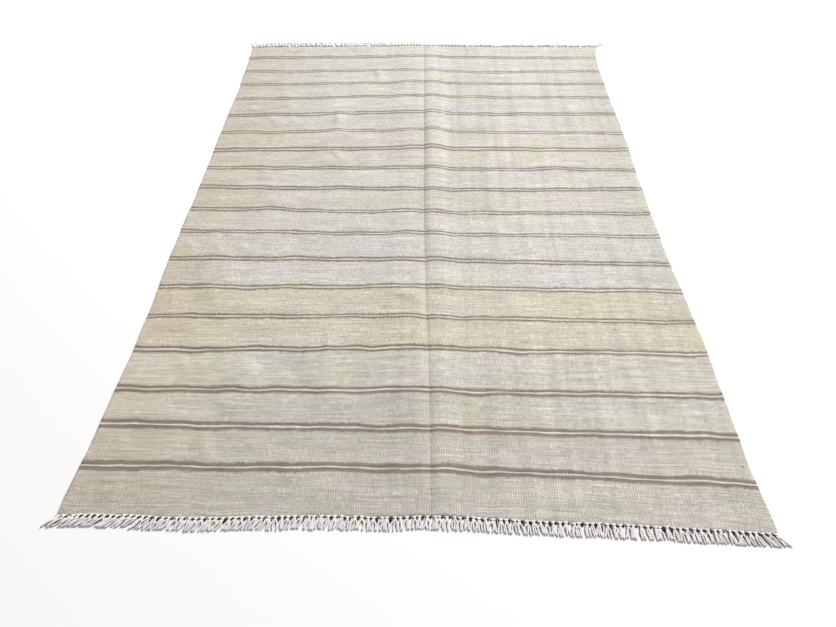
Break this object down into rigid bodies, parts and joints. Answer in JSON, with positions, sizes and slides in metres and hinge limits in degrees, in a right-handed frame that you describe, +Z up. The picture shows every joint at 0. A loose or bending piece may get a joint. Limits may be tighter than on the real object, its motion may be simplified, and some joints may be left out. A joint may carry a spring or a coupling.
{
  "type": "kilim rug",
  "caption": "Flat-woven striped rug lying open on a floor, with a soft fold line down its middle and a knotted fringe at each end.",
  "frame": {"origin": "on the floor under the middle of the whole outline, fringes included", "axes": "+X across the rug, +Y along it towards the end that is far in the picture, +Z up from the floor"},
  "size_m": [1.8544, 2.6604, 0.0191],
  "materials": {
    "flat_weave": "undyed cream and grey-beige flat weave with narrow dull brown stripes, matt",
    "warp_yarn": "ecru plied warp ends, knotted, matt"
  },
  "bodies": {
    "root": {"rug_cloth": "flat_weave", "fringe_near": "warp_yarn", "fringe_far": "warp_yarn"}
  },
  "joints": []
}
